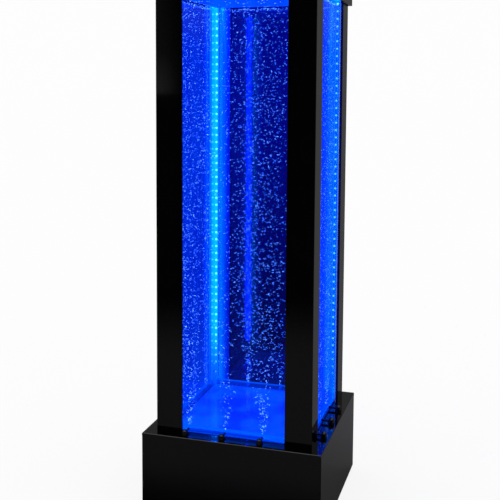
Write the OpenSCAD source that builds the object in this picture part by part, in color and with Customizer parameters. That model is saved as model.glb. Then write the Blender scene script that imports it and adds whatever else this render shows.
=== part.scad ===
// Bubble column floor lamp: a black box base and a lift-off cap, joined by four corner posts.
// Four double-skin water panels stand between the posts round a hollow core that LED strips light.
// Millimetres, +Z up, front towards -Y. The origin is on the floor under the middle of the base.

/* [Overall] */
// Width of the column over its corner posts
column_w = 330; // [320:1:400]
// Height of the column between the base and the cap
column_h = 898; // [500:1:1200]
// Height of the base, with its feet
base_h = 180; // [168:1:240]
// How far the base stands out past the posts on each side
base_ledge = 24; // [22:1:50]
// Height of the cap
cap_h = 122; // [110:1:180]
// How far the cap stands out past the posts on each side
cap_ledge = 8; // [7:0.5:20]

/* [Base box] */
// Thickness of the base walls
wall_t = 5; // [4:0.5:7]
// Thickness of the deck that the column stands on
deck_t = 6; // [5:0.5:9]
// Thickness of the bottom plate
bottom_t = 5; // [4:0.5:8]
// Height of the rubber feet
foot_h = 5; // [3:0.5:12]
// Radius of the rubber feet
foot_r = 16; // [10:1:22]
// Distance of each foot's middle from the outer faces of the base
foot_inset = 39; // [36:1:60]
// Bevel on the outer edges of the black acrylic
edge_bevel = 1; // [0.5:0.1:2]
// Side of the square blocks in the corners of the base
corner_block_w = 25; // [18:1:28]
// Radius of the bottom screws
bottom_screw_r = 2; // [1.5:0.25:2.5]
// Length of the bottom screws under their heads
bottom_screw_l = 18; // [12:1:30]

/* [Rear wall fittings] */
// Height of the power inlet and the switch above the floor
fitting_z = 45; // [38:1:80]
// Distance of the switch from the inside of the right wall
switch_inset = 48; // [46:1:50]
// Distance between the power inlet and the switch
fitting_pitch = 36; // [28:1:42]
// Outer radius of the power inlet's flange
jack_flange_r = 8; // [7:0.5:10]
// Length of the power inlet behind the wall
jack_l = 14; // [12:1:18]
// Width of the switch frame
switch_w = 21; // [19:0.5:24]
// Height of the switch frame
switch_h = 15; // [13:0.5:20]
// Full travel of the rocker, in degrees
rocker_travel = 14; // [8:1:16]
// Count of the air slots in the rear wall
vent_count = 9; // [5:1:12]
// Width of each air slot
vent_w = 3; // [2:0.5:5]
// Height of each air slot
vent_h = 40; // [20:1:60]
// Distance between air slots
vent_pitch = 9; // [8:0.5:10]

/* [Posts and core] */
// Width of each leg of a corner post
post_leg = 56; // [50:1:62]
// Thickness of the corner posts
post_t = 5; // [3:0.5:8]
// Thickness of the white liner behind each post
liner_t = 2; // [1:0.5:3]
// How far the liner ends short of the post's edge
liner_setback = 1; // [0.5:0.5:3]
// Height of the blocks that tie the posts to the deck
foot_block_h = 20; // [12:1:30]
// Height of the blocks that tie the posts together at the top
top_block_h = 60; // [30:1:62]
// How far the column runs up into the cap
cap_overlap = 72; // [60:1:85]
// Thickness of the white floor of the core
floor_t = 3; // [2:0.5:6]
// Wall of the white collar at the top of the core
collar_t = 5; // [3:0.5:8]
// Thickness of the white ceiling of the core
ceiling_t = 4; // [2:0.5:6]

/* [Water panels] */
// Thickness of each clear sheet
sheet_t = 4; // [3:0.5:6]
// Clear gap between the two sheets, which holds the water
water_gap = 10; // [8:0.5:14]
// Distance between the side of a panel and the inner face of its neighbour
corner_gap = 3; // [2:0.5:6]
// Width of the side rails between the sheets
rail_w = 12; // [8:1:18]
// Height of the drilled air bar at the foot of each panel
air_bar_h = 12; // [10:1:20]
// Radius of the air jets drilled up through the air bar
jet_r = 1; // [0.5:0.1:1.5]
// Depth of the water surface under the cap's lower edge
water_drop = 7; // [3:1:40]

/* [Air inlets] */
// Distance of a panel's first inlet from the edge of the post on its left
inlet_near = 10; // [6:1:20]
// Distance of a panel's last inlet from the edge of the post on its right
inlet_far = 49; // [10:1:60]
// Distance of an inlet's axis from the face of the panel
inlet_standoff = 17.4; // [12:0.1:18]
// Radius of an inlet's barrel
inlet_r = 6.5; // [5:0.25:7]
// Height of an inlet's barrel under its dome
inlet_h = 6.5; // [5:0.5:9]
// Radius of an inlet's stub and tail
stem_r = 2.5; // [2:0.1:3.5]

/* [Lighting] */
// Width of an LED strip
strip_w = 15; // [12:0.5:16]
// Thickness of an LED strip's flexible board
strip_t = 0.6; // [0.4:0.1:1]
// Distance between LEDs along a strip
led_pitch = 16.67; // [12:0.01:33.4]
// Distance between a strip's two rows of LEDs
led_row_gap = 10; // [6:0.5:10]
// Side of an LED
led_w = 3.5; // [2.5:0.5:5]
// Height of an LED above its board
led_h = 1.6; // [1:0.1:2]
// Distance of a strip's middle from the outer face of its post
strip_inset = 17; // [15:0.5:18]

/* [Air supply] */
// Length of the air pump along X
pump_l = 170; // [120:1:180]
// Width of the air pump along Y
pump_w = 110; // [80:1:112]
// Height of the air pump's case, without its cover
pump_case_h = 54; // [40:1:54]
// Height of the air pump's cover
pump_cover_h = 14; // [8:1:14]
// Height of the pump's rubber mounts
mount_h = 6; // [4:0.5:8]
// Count of cooling ribs on each long side of the pump
rib_count = 13; // [6:1:15]
// Radius of the air pipes
pipe_r = 5; // [4:0.25:5.5]
// Radius of the hose barbs
barb_r = 3; // [2.5:0.1:3.5]
// Wall of the rubber air hoses
hose_wall = 1.5; // [1:0.1:2]
// Depth of the air pipes' axis under the deck
pipe_drop = 28; // [24:1:30]
// Distance of each valve from the middle of the manifold
valve_reach = 36; // [32:1:44]
// Radius of a valve's boss on the manifold
valve_boss_r = 9; // [8:0.5:10]
// Radius of a valve stem
valve_stem_r = 3; // [2.5:0.1:3.5]
// Radius of a valve knob
knob_r = 8; // [7:0.5:9]
// Height of a valve knob
knob_h = 9; // [7:0.5:10]
// Length of a check valve's body
check_valve_l = 28; // [20:1:32]

/* [Electronics] */
// Length of the LED controller along X
controller_l = 96; // [70:1:100]
// Width of the LED controller along Y
controller_w = 52; // [40:1:54]
// Height of the LED controller
controller_h = 26; // [20:1:34]
// Length of the power board along X
board_l = 70; // [60:1:76]
// Width of the power board along Y
board_w = 56; // [48:1:60]
// Height of the power board's standoffs
standoff_h = 6; // [4:0.5:10]
// Radius of the wires
wire_r = 2; // [1.5:0.1:2.2]

/* [Hidden] */

$fn = 48;

// Clearances
running_gap = 0.05;
seat_gap = 0.3;
overcut = 1;

// Plan sizes, measured from the middle
column_half = column_w / 2;
base_half = column_half + base_ledge;
base_inner = base_half - wall_t;
foot_spread = base_half - foot_inset;
cap_half = column_half + cap_ledge;
cap_inner = cap_half - wall_t;
post_inner = column_half - post_t;
panel_face = post_inner - liner_t;
water_outer = panel_face - sheet_t;
water_inner = water_outer - water_gap;
core_half = water_inner - sheet_t;
panel_half = core_half - corner_gap;
inlet_reach = panel_face + inlet_standoff;
strip_reach = column_half - strip_inset;

// Heights above the floor
base_floor_z = foot_h + bottom_t;
deck_under_z = base_h - deck_t;
cap_z = base_h + column_h;
column_top_z = cap_z + cap_overlap;
lamp_h = cap_z + cap_h;
cap_plate_z = lamp_h - deck_t;
water_z = cap_z - water_drop;
pipe_z = deck_under_z - pipe_drop;
pump_z = base_floor_z + mount_h;
pump_top_z = pump_z + pump_case_h + pump_cover_h;
board_z = base_floor_z + standoff_h;
foot_block_z = base_h + foot_block_h;

// Air inlets along each side
inlet_first = -(column_half - post_leg) + inlet_near;
inlet_last = column_half - post_leg - inlet_far;
inlet_places = [inlet_first, (inlet_first + inlet_last) / 2, inlet_last];
jet_z = base_h + air_bar_h / 2;
tail_z = pipe_z + 12;
nut_h = 3;

// Air supply along each side, outward from the middle
hub_r = 18;
hub_h = 20;
arm_end = valve_reach + valve_boss_r + 9;
check_valve_reach = arm_end + 32;
check_valve_r = 8;
rail_barb_l = 12;
barb_cover = 7;
valve_boss_h = 16;
valve_stem_l = 10;
nozzle_l = 12;
hose_r = barb_r + hose_wall;

// Rear wall fittings
switch_x = base_inner - switch_inset;
inlet_jack_x = switch_x - fitting_pitch;

// Electronics on the base's floor, placed from its walls
controller_at = [96 - base_inner, base_inner - 56];
board_at = [base_inner - 84, base_inner - 56];
board_t = 1.6;

// ---- shared shapes ----

// Turns what is drawn on the front side to one of the four sides
module on_side(side) {
    rotate([0, 0, 90 * side]) children();
}

// Mirrors what is drawn in the +X +Y quarter to one of the four corners
module at_corner(side_x, side_y) {
    mirror([side_x < 0 ? 1 : 0, 0, 0])
        mirror([0, side_y < 0 ? 1 : 0, 0])
            children();
}

module at_all_corners() {
    for (side_x = [-1, 1], side_y = [-1, 1])
        at_corner(side_x, side_y) children();
}

module rounded_rect(length, width, radius) {
    square([length - 2 * radius, width], center = true);
    square([length, width - 2 * radius], center = true);
    for (x = [-1, 1], y = [-1, 1])
        translate([x * (length / 2 - radius), y * (width / 2 - radius)]) circle(radius);
}

// Square plate whose upper outer edges are bevelled
module bevelled_plate(half, thickness, bevel) {
    difference() {
        translate([-half, -half, 0]) cube([2 * half, 2 * half, thickness]);
        for (side = [0:3]) on_side(side)
            translate([-half - overcut, -half, thickness])
                rotate([90, 0, 90])
                    linear_extrude(2 * (half + overcut))
                        polygon([[-overcut, overcut], [-overcut, -bevel], [0, -bevel],
                                 [bevel, 0], [bevel, overcut]]);
    }
}

// Upright wall on the front side that runs the full width, with bevelled ends
module long_wall(half, z_low, z_high) {
    translate([0, 0, z_low])
        linear_extrude(z_high - z_low)
            polygon([[-half + edge_bevel, -half], [half - edge_bevel, -half],
                     [half, -half + edge_bevel], [half, -half + wall_t],
                     [-half, -half + wall_t], [-half, -half + edge_bevel]]);
}

// Upright wall on the right side that fits between the two long walls
module short_wall(half, z_low, z_high) {
    translate([half - wall_t, -half + wall_t, z_low])
        cube([wall_t, 2 * (half - wall_t), z_high - z_low]);
}

// Barbed hose tail along +Z
module barb(length) {
    cylinder(h = length, r = barb_r - 0.4);
    for (z = [2:3:length - 1])
        translate([0, 0, z - 1]) cylinder(h = 1, r = barb_r);
}

// Rubber hose along +Z that slips over a barb at each end
module hose(length) {
    difference() {
        cylinder(h = length, r = hose_r);
        translate([0, 0, -overcut]) cylinder(h = length + 2 * overcut, r = barb_r + running_gap);
    }
}

// ---- wires: a round section swept along a smooth curve through hand-set points ----

wire_sides = 6;
wire_steps = 4;
// Length of bare board at a strip's foot, where its lead is soldered
pad_l = 10;

function unit(v) = v / norm(v);

// Direction at a point: the near neighbour counts most, so that the curve never runs past a point
function heading(points, i) =
    let (last = len(points) - 1,
         before = i > 0 ? points[i] - points[i - 1] : points[1] - points[0],
         after = i < last ? points[i + 1] - points[i] : before)
    (unit(before) * norm(after) + unit(after) * norm(before)) / (norm(before) + norm(after));

function curve_point(a, b, from, to, t) =
    let (reach = norm(b - a), t2 = t * t, t3 = t2 * t)
    (2 * t3 - 3 * t2 + 1) * a + (t3 - 2 * t2 + t) * reach * from
    + (3 * t2 - 2 * t3) * b + (t3 - t2) * reach * to;

function spline(points) = let (last = len(points) - 1) concat(
    [for (i = [0:last - 1], s = [0:wire_steps - 1])
        curve_point(points[i], points[i + 1], heading(points, i), heading(points, i + 1),
                    s / wire_steps)],
    [points[last]]);

// The direction at each ring: square to the first and the last stretch at the ends
function tangents(points, path) = let (last = len(path) - 1)
    [for (i = [0:last])
        i == 0 ? heading(points, 0)
        : i == last ? heading(points, len(points) - 1)
        : unit(path[i + 1] - path[i - 1])];

function across(v, t) = unit(v - (v * t) * t);

function normals(ahead) =
    [for (i = 0, n = across([0.3, 0.5, 0.8], ahead[0]); i < len(ahead);
          i = i + 1, n = i < len(ahead) ? across(n, ahead[i]) : n) n];

module wire(points) {
    path = spline(points);
    ahead = tangents(points, path);
    sides = normals(ahead);
    rings = len(path);
    function ring(i) = [for (k = [0:wire_sides - 1])
        let (angle = 360 * k / wire_sides, n = sides[i], b = cross(ahead[i], n))
            path[i] + wire_r * (cos(angle) * n + sin(angle) * b)];
    function at(i, k) = i * wire_sides + k % wire_sides;
    polyhedron(
        points = [for (i = [0:rings - 1]) each ring(i)],
        faces = concat(
            [for (i = [0:rings - 2], k = [0:wire_sides - 1]) [at(i, k), at(i + 1, k), at(i + 1, k + 1)]],
            [for (i = [0:rings - 2], k = [0:wire_sides - 1]) [at(i, k), at(i + 1, k + 1), at(i, k + 1)]],
            [for (k = [1:wire_sides - 2]) [at(0, 0), at(0, k), at(0, k + 1)]],
            [for (k = [1:wire_sides - 2]) [at(rings - 1, 0), at(rings - 1, k + 1), at(rings - 1, k)]]
        ));
}

// ---- base box ----

module base_front_wall() {
    color("#0f1012") long_wall(base_half, foot_h, deck_under_z);
}

module base_rear_wall() {
    color("#0f1012") difference() {
        on_side(2) long_wall(base_half, foot_h, deck_under_z);
        // Recesses that let the inlet and the switch sit flush, with their through holes
        translate([inlet_jack_x, base_half + overcut, fitting_z]) rotate([90, 0, 0]) {
            cylinder(h = overcut + recess, r = jack_flange_r + running_gap);
            cylinder(h = wall_t + 2 * overcut, r = jack_flange_r - 2 + running_gap);
        }
        translate([switch_x, base_half, fitting_z]) {
            cut_block([switch_w, switch_h], -recess, overcut);
            cut_block(switch_body, -wall_t - overcut, overcut);
        }
        // Air slots for the pump
        for (i = [0:vent_count - 1])
            translate([(i - (vent_count - 1) / 2) * vent_pitch - vent_w / 2,
                       base_inner - overcut, deck_under_z / 2 - vent_h / 2])
                cube([vent_w, wall_t + 2 * overcut, vent_h]);
    }
}

module base_right_wall() {
    color("#0f1012") short_wall(base_half, foot_h, deck_under_z);
}

module base_left_wall() {
    color("#0f1012") on_side(2) short_wall(base_half, foot_h, deck_under_z);
}

module base_deck() {
    color("#0b0b0d") difference() {
        translate([0, 0, deck_under_z]) bevelled_plate(base_half, deck_t, edge_bevel);
        for (side = [0:3], u = inlet_places) on_side(side)
            translate([u, -inlet_reach, deck_under_z - overcut])
                cylinder(h = deck_t + 2 * overcut, r = stem_r + running_gap);
        at_all_corners() lead_hole(deck_under_z, deck_t);
    }
}

// Hole for an LED strip's lead, up through the deck or a post's foot block
module lead_hole(z, thickness) {
    translate([strip_reach, strip_reach, z - overcut])
        cylinder(h = thickness + 2 * overcut, r = wire_r + 1);
}

module bottom_plate() {
    half = base_inner - seat_gap;
    color("#1a1a1c") difference() {
        translate([-half, -half, foot_h]) cube([2 * half, 2 * half, bottom_t]);
        at_all_corners() translate([screw_reach, screw_reach, foot_h - overcut]) {
            cylinder(h = bottom_t + 2 * overcut, r = bottom_screw_r + 0.3);
            cylinder(h = overcut + screw_head_h, r = 2 * bottom_screw_r + 0.3);
        }
    }
}

screw_reach = base_inner - corner_block_w / 2;
screw_head_h = 2;

module base_corner_blocks() {
    height = deck_under_z - base_floor_z;
    color("#2a2a2c") at_all_corners() difference() {
        translate([base_inner - corner_block_w, base_inner - corner_block_w, base_floor_z])
            cube([corner_block_w, corner_block_w, height]);
        translate([screw_reach, screw_reach, base_floor_z - overcut])
            cylinder(h = bottom_screw_l, r = bottom_screw_r + running_gap);
    }
}

module bottom_screws() {
    color("#9a9a9a") at_all_corners() translate([screw_reach, screw_reach, foot_h]) difference() {
        union() {
            cylinder(h = screw_head_h, r = 2 * bottom_screw_r);
            translate([0, 0, screw_head_h])
                cylinder(h = bottom_t - screw_head_h + bottom_screw_l - 2 * overcut, r = bottom_screw_r);
        }
        for (turn = [0, 90]) rotate([0, 0, turn])
            translate([-1.3 * bottom_screw_r, -0.4, -overcut])
                cube([2.6 * bottom_screw_r, 0.8, overcut + 1]);
    }
}

module feet() {
    color("#202020") at_all_corners() translate([foot_spread, foot_spread, 0])
        rotate_extrude()
            polygon([[0, 1], [foot_r / 3, 1], [foot_r / 3 + 1, 0], [foot_r - 2, 0],
                     [foot_r, foot_h - 1], [foot_r, foot_h], [0, foot_h]]);
}

// ---- rear wall fittings ----

module power_inlet() {
    color("#1c1c1e") translate([inlet_jack_x, base_half, fitting_z]) rotate([90, 0, 0]) difference() {
        union() {
            cylinder(h = recess, r = jack_flange_r);
            cylinder(h = wall_t + jack_l, r = jack_flange_r - 2);
        }
        difference() {
            translate([0, 0, -overcut]) cylinder(h = overcut + 10, r = 3.2);
            translate([0, 0, 0.5]) cylinder(h = 10, r = 1);
        }
    }
}

// The rocker's pivot lies inside the wall, so that it tips in its frame without standing proud
rocker_axis_depth = 3.2;
rocker_size = [switch_w - 7, switch_h - 7];
rocker_pin_r = 1;
rocker_play = 0.6;
switch_body = [switch_w - 3, switch_h - 3];
switch_body_l = 14;
switch_well = 8;
recess = 2;

// Block of a given width and height about the Y axis, from one depth to another
module cut_block(size, from_y, to_y) {
    translate([-size.x / 2, from_y, -size.y / 2]) cube([size.x, to_y - from_y, size.y]);
}

module switch_frame() {
    color("#18181a") translate([switch_x, base_half, fitting_z]) difference() {
        union() {
            cut_block([switch_w, switch_h], -recess, 0);
            cut_block(switch_body, -wall_t - switch_body_l, 0);
        }
        cut_block([rocker_size.x + rocker_play, rocker_size.y + rocker_play], -switch_well, overcut);
        translate([0, -rocker_axis_depth, -switch_h])
            cylinder(h = 2 * switch_h, r = rocker_pin_r + running_gap);
    }
}

// A rocker that rests tipped one way and turns about an upright pin
module switch_rocker() {
    reach = rocker_size.x / 2 - 0.2;
    color("#242426") translate([switch_x, base_half - rocker_axis_depth, fitting_z]) {
        translate([0, 0, -rocker_size.y / 2]) rotate([0, 0, rocker_travel / 2])
            linear_extrude(rocker_size.y)
                polygon([[-reach, -2.2], [reach, -2.2], [reach, 2], [reach / 2, 1.3],
                         [0, 1.1], [-reach / 2, 1.3], [-reach, 2]]);
        translate([0, 0, -switch_body.y / 2 + 0.2])
            cylinder(h = switch_body.y - 0.4, r = rocker_pin_r);
    }
}

// ---- electronics ----

module power_board() {
    color("#1d5c34") translate([board_at.x, board_at.y, base_floor_z]) {
        for (x = [-1, 1], y = [-1, 1])
            translate([x * (board_l / 2 - 4), y * (board_w / 2 - 4), 0])
                cylinder(h = standoff_h, r = 3);
        translate([-board_l / 2, -board_w / 2, standoff_h]) cube([board_l, board_w, board_t]);
        translate([-board_l / 2 + 12, 8, standoff_h + board_t]) cylinder(h = 20, r = 6.5);
        translate([4, -16, standoff_h + board_t]) cube([18, 16, 12]);
        for (x = [-14, 22])
            translate([x - 6, board_w / 2 - 10, standoff_h + board_t]) cube([12, 8, 10]);
    }
}

module led_controller() {
    color("#3a3d42") translate([controller_at.x, controller_at.y, base_floor_z]) {
        linear_extrude(controller_h) rounded_rect(controller_l, controller_w, 4);
        for (x = [-1, 1])
            translate([x * (controller_l / 2 + 3), 0, 0])
                linear_extrude(3) difference() {
                    square([14, 16], center = true);
                    translate([x * 3, 0]) circle(2);
                }
    }
}

module wiring() {
    lead_z = base_floor_z + 8;
    rise_z = base_floor_z + 60;
    strip_pad_y = panel_face - strip_t - wire_r - 0.2;
    left_face = controller_at.x - controller_l / 2;
    right_face = controller_at.x + controller_l / 2;
    run = strip_reach + 2;
    wall_run = base_inner - 14;
    pump_side = pump_w / 2;
    board_edge = board_at.x - board_l / 2;
    // The last stretch of a lead: up the corner, through the deck and to the strip
    function climb(x, y) = [
        for (z = [rise_z, rise_z + 25, foot_block_z - 6, foot_block_z])
            [x * strip_reach, y * strip_reach, z],
        [x * strip_reach, y * (strip_reach + strip_pad_y) / 2, foot_block_z + 5],
        [x * strip_reach, y * strip_pad_y, foot_block_z + pad_l]];
    // A lead leaves the controller square to its end
    function leave(face, way, y, z) =
        [for (reach = [0, 8]) [face + way * reach, controller_at.y + y, z]];
    color("#b0342c") {
        wire(concat(leave(left_face, -1, 12, lead_z + 6), climb(-1, 1)));
        wire(concat(leave(left_face, -1, -12, lead_z),
                    [[-run, 80, lead_z], [-run, 0, lead_z], [-run, -90, lead_z]], climb(-1, -1)));
        wire(concat(leave(right_face, 1, 18, lead_z),
                    [[-8, wall_run - 3, lead_z - 3], [60, wall_run, lead_z - 3],
                     [board_at.x + 20, wall_run, lead_z]], climb(1, 1)));
        wire(concat(leave(right_face, 1, -18, lead_z),
                    [[10, pump_side + 25, lead_z], [60, pump_side + 20, lead_z],
                     [130, pump_side + 20, lead_z], [run, 56, lead_z], [run, 0, lead_z],
                     [run, -90, lead_z]], climb(1, -1)));
        // Board to controller
        wire(concat(leave(right_face, 1, 0, lead_z),
                    [[20, controller_at.y - 2, lead_z + 2],
                     [board_edge - 14, board_at.y, board_z + board_t + 6],
                     [board_edge + 4, board_at.y, board_z + board_t + wire_r + seat_gap]]));
        // Inlet and switch to the board's terminals
        for (switched = [false, true])
            let (x = switched ? switch_x : inlet_jack_x,
                 start = base_inner - (switched ? switch_body_l : jack_l),
                 terminal = [board_at.x + (switched ? 22 : -14), board_at.y + board_w / 2 - 6])
                wire([[x, start, fitting_z], [x, start - 5, fitting_z],
                      [terminal.x, terminal.y + 5, board_z + 20],
                      [terminal.x, terminal.y, board_z + board_t + 15],
                      [terminal.x, terminal.y, board_z + board_t + 10]]);
        // Board to pump
        wire([[board_edge + 9, board_at.y - board_w / 2 + 8, board_z + board_t + wire_r + seat_gap],
              [board_edge + 9, board_at.y - board_w / 2 - 5, board_z + board_t + 4],
              [60, pump_side + 16, pump_z + 22], [50, pump_side + 8, pump_z + 22],
              [50, pump_side, pump_z + 22]]);
    }
}

// ---- air supply ----

module air_pump_case() {
    rib_pitch = (pump_l - 40) / (rib_count - 1);
    color("#8b9096") {
        translate([0, 0, pump_z])
            linear_extrude(pump_case_h) rounded_rect(pump_l, pump_w - 8, 10);
        for (side = [0, 2], i = [0:rib_count - 1]) on_side(side)
            if (side == 0 || abs(i - (rib_count - 1) / 2) > 0)
                translate([-pump_l / 2 + 20 + i * rib_pitch - 1.5, -pump_w / 2, pump_z + 6])
                    cube([3, 5, pump_case_h - 12]);
    }
}

module air_pump_cover() {
    color("#5d6268") translate([0, 0, pump_z + pump_case_h]) {
        difference() {
            linear_extrude(pump_cover_h) rounded_rect(pump_l + 2, pump_w - 6, 11);
            for (x = [-1, 1], y = [-1, 1])
                translate([x * (pump_l / 2 - 12), y * (pump_w / 2 - 16), pump_cover_h - 5])
                    cylinder(h = 5 + overcut, r = 4);
        }
        translate([0, 0, pump_cover_h]) {
            cylinder(h = 3, r = 9);
            translate([0, 0, 3]) barb(nozzle_l);
        }
    }
}

module pump_mounts() {
    color("#202020") for (x = [-1, 1], y = [-1, 1])
        translate([x * (pump_l / 2 - 20), y * (pump_w / 2 - 20), base_floor_z])
            rotate_extrude()
                polygon([[0, 0], [9, 0], [9, 1.2], [6.5, mount_h / 2], [9, mount_h - 1.2], [9, mount_h],
                         [0, mount_h]]);
}

// Hub under the deck with four arms, each with a bored boss for its quarter-turn valve
module air_manifold() {
    color("#b08d3c") difference() {
        union() {
            translate([0, 0, pipe_z - hub_h / 2]) cylinder(h = hub_h, r = hub_r);
            translate([0, 0, pipe_z]) cylinder(h = pipe_drop, r = 12);
            translate([0, 0, pipe_z - hub_h / 2]) mirror([0, 0, 1]) barb(nozzle_l);
            for (side = [0:3]) on_side(side) {
                translate([0, 0, pipe_z]) rotate([90, 0, 0]) {
                    cylinder(h = arm_end - 9, r = pipe_r);
                    translate([0, 0, arm_end - 9]) barb(9);
                }
                translate([0, -valve_reach, pipe_z - valve_boss_h / 2])
                    cylinder(h = valve_boss_h, r = valve_boss_r);
            }
        }
        for (side = [0:3]) on_side(side)
            translate([0, -valve_reach, pipe_z - valve_boss_h / 2 - overcut])
                cylinder(h = overcut + valve_stem_l + seat_gap, r = valve_stem_r + running_gap);
    }
}

module valve_knob(side) {
    lever_w = 4;
    color("#c23b2e") on_side(side)
        translate([0, -valve_reach, pipe_z - valve_boss_h / 2 - seat_gap]) {
            cylinder(h = valve_stem_l, r = valve_stem_r);
            difference() {
                translate([0, 0, -knob_h]) cylinder(h = knob_h, r = knob_r);
                for (flank = [-1, 1])
                    translate([-knob_r - overcut, flank * (lever_w / 2 + knob_r) - knob_r, -knob_h - overcut])
                        cube([2 * (knob_r + overcut), 2 * knob_r, knob_h - 3 + overcut]);
            }
        }
}

module valve_knob_front() { valve_knob(0); }
module valve_knob_right() { valve_knob(1); }
module valve_knob_rear() { valve_knob(2); }
module valve_knob_left() { valve_knob(3); }

// One non-return valve in each line, so that the water can't run back into the pump
module check_valves() {
    color("#d9dde0") for (side = [0:3]) on_side(side)
        translate([0, -check_valve_reach, pipe_z]) rotate([90, 0, 0]) {
            translate([0, 0, -9]) barb(9);
            cylinder(h = check_valve_l / 2 - 1, r = check_valve_r);
            cylinder(h = check_valve_l, r = check_valve_r - 1.5);
            translate([0, 0, check_valve_l / 2 + 1])
                cylinder(h = check_valve_l / 2 - 1, r = check_valve_r);
            translate([0, 0, check_valve_l]) barb(9);
        }
}

// A closed pipe under the three inlets of each side
module air_rails() {
    overhang = 10;
    color("#c9cdd0") for (side = [0:3]) on_side(side) {
        translate([inlet_places[0] - overhang, -inlet_reach, pipe_z]) rotate([0, 90, 0])
            cylinder(h = inlet_last - inlet_first + 2 * overhang, r = pipe_r);
        for (u = inlet_places)
            translate([u, -inlet_reach, pipe_z]) cylinder(h = tail_z - pipe_z, r = stem_r);
        translate([0, -inlet_reach + pipe_r - 2 + rail_barb_l, pipe_z])
            rotate([90, 0, 0]) barb(rail_barb_l);
    }
}

module air_hoses() {
    rail_barb_end = inlet_reach - pipe_r + 2 - rail_barb_l;
    check_valve_end = check_valve_reach + check_valve_l;
    color("#33363a") {
        // Pump to manifold
        translate([0, 0, pump_top_z + 3])
            hose(pipe_z - hub_h / 2 - pump_top_z - 3);
        for (side = [0:3]) on_side(side) {
            // Manifold to check valve, and check valve to rail
            translate([0, -arm_end + 9, pipe_z]) rotate([90, 0, 0])
                hose(check_valve_reach - arm_end + 9);
            translate([0, -check_valve_end, pipe_z]) rotate([90, 0, 0])
                hose(rail_barb_end + barb_cover - check_valve_end);
            // Sleeves that join the rail's risers to the inlets' tails
            for (u = inlet_places)
                translate([u, -inlet_reach, tail_z - 5]) difference() {
                    cylinder(h = 11, r = stem_r + hose_wall + running_gap);
                    translate([0, 0, -overcut]) cylinder(h = 11 + 2 * overcut, r = stem_r + running_gap);
                }
        }
    }
}

// Domed elbow on the deck: its tail goes down through the deck and its stub into the air bar
module air_inlet() {
    stub_l = inlet_standoff + sheet_t + 3;
    translate([0, 0, base_h]) {
        cylinder(h = inlet_h, r = inlet_r);
        translate([0, 0, inlet_h]) intersection() {
            sphere(r = inlet_r);
            translate([-inlet_r, -inlet_r, 0]) cube([2 * inlet_r, 2 * inlet_r, inlet_r]);
        }
    }
    translate([0, 0, tail_z]) cylinder(h = base_h - tail_z + 1, r = stem_r);
    translate([0, 0, jet_z]) rotate([-90, 0, 0]) cylinder(h = stub_l, r = stem_r);
}

module air_inlets() {
    color("#060607") for (side = [0:3], u = inlet_places) on_side(side)
        translate([u, -inlet_reach, 0]) {
            air_inlet();
            // Nut under the deck
            translate([0, 0, deck_under_z - nut_h]) difference() {
                cylinder(h = nut_h, r = stem_r + 3, $fn = 6);
                translate([0, 0, -overcut]) cylinder(h = nut_h + 2 * overcut, r = stem_r + running_gap);
            }
        }
}

// ---- posts and core ----

module post(side_x, side_y) {
    inner_edge = column_half - post_leg;
    color("#08080a") at_corner(side_x, side_y)
        translate([0, 0, base_h])
            linear_extrude(column_top_z - base_h)
                polygon([[inner_edge, column_half], [column_half - edge_bevel, column_half],
                         [column_half, column_half - edge_bevel], [column_half, inner_edge],
                         [post_inner, inner_edge], [post_inner, post_inner], [inner_edge, post_inner]]);
}

module post_front_left() { post(-1, -1); }
module post_front_right() { post(1, -1); }
module post_rear_left() { post(-1, 1); }
module post_rear_right() { post(1, 1); }

// White angle behind each post, which spreads the light of its LED strip
module post_liners() {
    inner_edge = column_half - post_leg + liner_setback;
    color("#e8f0ff") at_all_corners()
        translate([0, 0, base_h])
            linear_extrude(column_top_z - base_h)
                polygon([[inner_edge, post_inner], [post_inner, post_inner], [post_inner, inner_edge],
                         [panel_face, inner_edge], [panel_face, panel_face], [inner_edge, panel_face]]);
}

module led_strip(side_x, side_y) {
    strip_low_z = foot_block_z + 4;
    strip_high_z = column_top_z - top_block_h - 2;
    end_margin = 4;
    led_count = floor((strip_high_z - strip_low_z - pad_l - end_margin - led_w) / led_pitch) + 1;
    color("#9fe8ff") at_corner(side_x, side_y) {
        translate([strip_reach - strip_w / 2, panel_face - strip_t, strip_low_z])
            cube([strip_w, strip_t, strip_high_z - strip_low_z]);
        for (i = [0:led_count - 1], row = [-0.5, 0.5])
            translate([strip_reach + row * led_row_gap - led_w / 2, panel_face - strip_t - led_h,
                       strip_high_z - end_margin - led_w - i * led_pitch])
                cube([led_w, led_h, led_w]);
    }
}

module led_strip_front_left() { led_strip(-1, -1); }
module led_strip_front_right() { led_strip(1, -1); }
module led_strip_rear_left() { led_strip(-1, 1); }
module led_strip_rear_right() { led_strip(1, 1); }

// Blocks in the corner channels: four on the deck, drilled for the leads, and four at the top
module post_blocks() {
    low = panel_half;
    size = panel_face - panel_half;
    color("#dfe6f2") at_all_corners() {
        difference() {
            translate([low, low, base_h]) cube([size, size, foot_block_h]);
            lead_hole(base_h, foot_block_h);
        }
        translate([low, low, column_top_z - top_block_h]) cube([size, size, top_block_h]);
    }
}

module core_floor() {
    half = core_half - seat_gap;
    color("#5a86ff") translate([0, 0, base_h]) linear_extrude(floor_t) difference() {
        square(2 * half, center = true);
        for (x = [-1, 1], y = [-1, 1])
            translate([x * core_half, y * core_half]) square(2 * corner_gap + 2, center = true);
    }
}

module core_collar() {
    half = core_half - seat_gap;
    corner_cut = corner_gap + 1;
    color("#dfe8ff") difference() {
        translate([-half, -half, cap_z]) cube([2 * half, 2 * half, column_top_z - ceiling_t - 2 - cap_z]);
        translate([-half + collar_t, -half + collar_t, cap_z - overcut])
            cube([2 * (half - collar_t), 2 * (half - collar_t), column_top_z - cap_z]);
        at_all_corners() translate([half - corner_cut + seat_gap, half - corner_cut + seat_gap, cap_z - overcut])
            cube([corner_cut, corner_cut, column_top_z - cap_z]);
    }
}

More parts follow.
